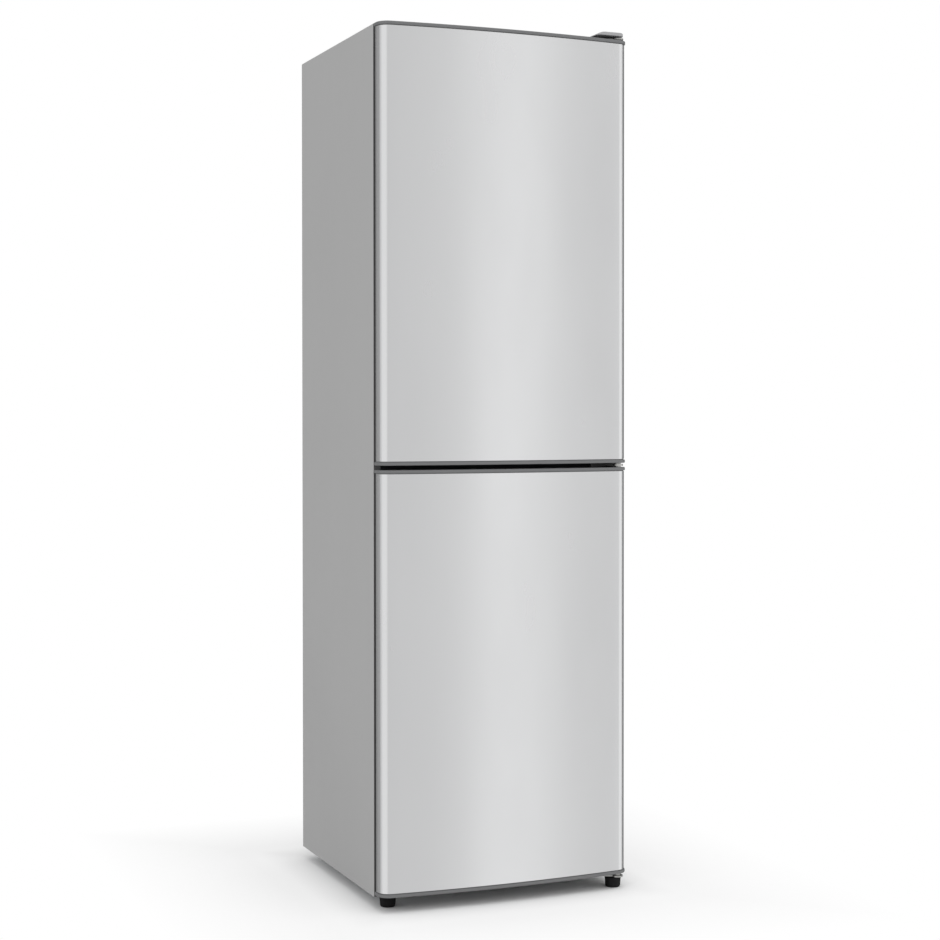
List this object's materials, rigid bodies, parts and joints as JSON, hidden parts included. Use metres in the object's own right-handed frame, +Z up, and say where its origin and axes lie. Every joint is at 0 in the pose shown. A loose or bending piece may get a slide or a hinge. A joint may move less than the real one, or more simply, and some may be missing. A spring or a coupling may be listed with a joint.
{
  "type": "two-door refrigerator",
  "caption": "Free-standing fridge-freezer with bowed doors hinged on the right, shelves, drawers, door balconies, levelling feet, rear rollers, compressor and wire condenser.",
  "frame": {"origin": "on the floor, at the middle of the whole outline seen from above", "axes": "+X to the right seen from the front, +Y from the doors to the back, +Z up"},
  "size_m": [0.544, 0.5556, 1.767],
  "materials": {
    "cabinet_paint": "satin",
    "door_paint": "satin",
    "bare_steel": "satin",
    "hinge_steel": "satin",
    "cap_plastic": "satin",
    "cover_plastic": "satin",
    "liner_plastic": "satin",
    "foam": "matte",
    "gasket": "matte",
    "bush_nylon": "satin",
    "foot_plastic": "matte",
    "mount_rubber": "matte",
    "compressor_paint": "satin",
    "copper": "satin",
    "evaporator_metal": "satin",
    "shelf_glass": "gloss",
    "trim_plastic": "satin",
    "drain_plastic": "matte",
    "lamp_glass": "satin",
    "drawer_plastic": "gloss",
    "balcony_plastic": "gloss"
  },
  "bodies": {
    "cabinet": {"cabinet_wrap": "cabinet_paint", "back_panel": "bare_steel", "bottom_panel": "bare_steel", "insulation_foam": "foam", "fridge_liner": "liner_plastic", "freezer_liner": "liner_plastic", "centre_rail": "bare_steel", "fridge_evaporator": "evaporator_metal", "freezer_evaporator": "evaporator_metal", "compressor_shelf": "bare_steel", "roller_axles": "hinge_steel", "compressor": "compressor_paint", "compressor_mounts": "mount_rubber", "relay_box": "foot_plastic", "drip_tray": "foot_plastic", "drain_pipe": "drain_plastic", "condenser_tube": "compressor_paint", "condenser_wires": "compressor_paint", "condenser_clips": "foot_plastic", "refrigerant_pipe": "copper", "control_housing": "liner_plastic", "lamp": "lamp_glass", "crisper_cover": "shelf_glass", "fridge_shelves": "shelf_glass", "shelf_trims": "trim_plastic", "freezer_shelves": "shelf_glass", "top_hinge": "hinge_steel", "top_hinge_cover": "cover_plastic", "middle_hinge": "hinge_steel", "bottom_hinge": "hinge_steel", "hinge_screws": "hinge_steel"},
    "upper_door": {"upper_door_skin": "door_paint", "upper_door_top_cap": "cap_plastic", "upper_door_bottom_cap": "cap_plastic", "upper_door_foam": "foam", "upper_door_liner": "liner_plastic", "upper_door_gasket": "gasket", "upper_door_bushes": "bush_nylon", "door_balcony_1": "balcony_plastic", "door_balcony_2": "balcony_plastic", "door_balcony_3": "balcony_plastic"},
    "lower_door": {"lower_door_skin": "door_paint", "lower_door_top_cap": "cap_plastic", "lower_door_bottom_cap": "cap_plastic", "lower_door_foam": "foam", "lower_door_liner": "liner_plastic", "lower_door_gasket": "gasket", "lower_door_bushes": "bush_nylon"},
    "thermostat_knob": {"thermostat_knob": "bush_nylon"},
    "door_switch": {"door_switch": "bush_nylon"},
    "crisper_drawer": {"crisper_drawer": "drawer_plastic"},
    "freezer_drawer_1": {"freezer_drawer_1": "drawer_plastic"},
    "freezer_drawer_2": {"freezer_drawer_2": "drawer_plastic"},
    "freezer_drawer_3": {"freezer_drawer_3": "drawer_plastic"},
    "freezer_drawer_4": {"freezer_drawer_4": "drawer_plastic"},
    "left_foot": {"left_foot": "foot_plastic"},
    "right_foot": {"right_foot": "foot_plastic"},
    "left_roller": {"left_roller": "foot_plastic"},
    "right_roller": {"right_roller": "foot_plastic"}
  },
  "joints": [
    {"name": "upper_door_hinge", "type": "hinge", "parent": "cabinet", "child": "upper_door", "pos_m": [0.254, -0.24782, 1.3135], "axis": [0, 0, 1], "range_deg": [0, 125]},
    {"name": "lower_door_hinge", "type": "hinge", "parent": "cabinet", "child": "lower_door", "pos_m": [0.254, -0.24782, 0.45075], "axis": [0, 0, 1], "range_deg": [0, 125]},
    {"name": "thermostat_turn", "type": "hinge", "parent": "cabinet", "child": "thermostat_knob", "pos_m": [0.066, -0.06982, 1.6732], "axis": [0, 0, 1], "range_deg": [0, 300]},
    {"name": "door_switch_slide", "type": "slide", "parent": "cabinet", "child": "door_switch", "axis": [0, -1, 0], "range_m": [0, 0.004]},
    {"name": "crisper_slide", "type": "slide", "parent": "cabinet", "child": "crisper_drawer", "axis": [0, -1, 0], "range_m": [0, 0.015]},
    {"name": "freezer_drawer_1_slide", "type": "slide", "parent": "cabinet", "child": "freezer_drawer_1", "axis": [0, -1, 0], "range_m": [0, 0.024]},
    {"name": "freezer_drawer_2_slide", "type": "slide", "parent": "cabinet", "child": "freezer_drawer_2", "axis": [0, -1, 0], "range_m": [0, 0.024]},
    {"name": "freezer_drawer_3_slide", "type": "slide", "parent": "cabinet", "child": "freezer_drawer_3", "axis": [0, -1, 0], "range_m": [0, 0.024]},
    {"name": "freezer_drawer_4_slide", "type": "slide", "parent": "cabinet", "child": "freezer_drawer_4", "axis": [0, -1, 0], "range_m": [0, 0.024]},
    {"name": "left_foot_turn", "type": "hinge", "parent": "cabinet", "child": "left_foot", "pos_m": [-0.236, -0.20483, 0.047], "axis": [0, 0, 1], "continuous": true},
    {"name": "right_foot_turn", "type": "hinge", "parent": "cabinet", "child": "right_foot", "pos_m": [0.248, -0.23783, 0.028], "axis": [0, 0, 1], "continuous": true},
    {"name": "left_roller_spin", "type": "hinge", "parent": "cabinet", "child": "left_roller", "pos_m": [-0.2, 0.21118, 0.012], "axis": [1, 0, 0], "continuous": true},
    {"name": "right_roller_spin", "type": "hinge", "parent": "cabinet", "child": "right_roller", "pos_m": [0.2, 0.21118, 0.012], "axis": [1, 0, 0], "continuous": true}
  ],
  "couplings": [
    {"joint": "door_switch_slide", "follows": "upper_door_hinge", "m_per_rad": 0.0018}
  ]
}
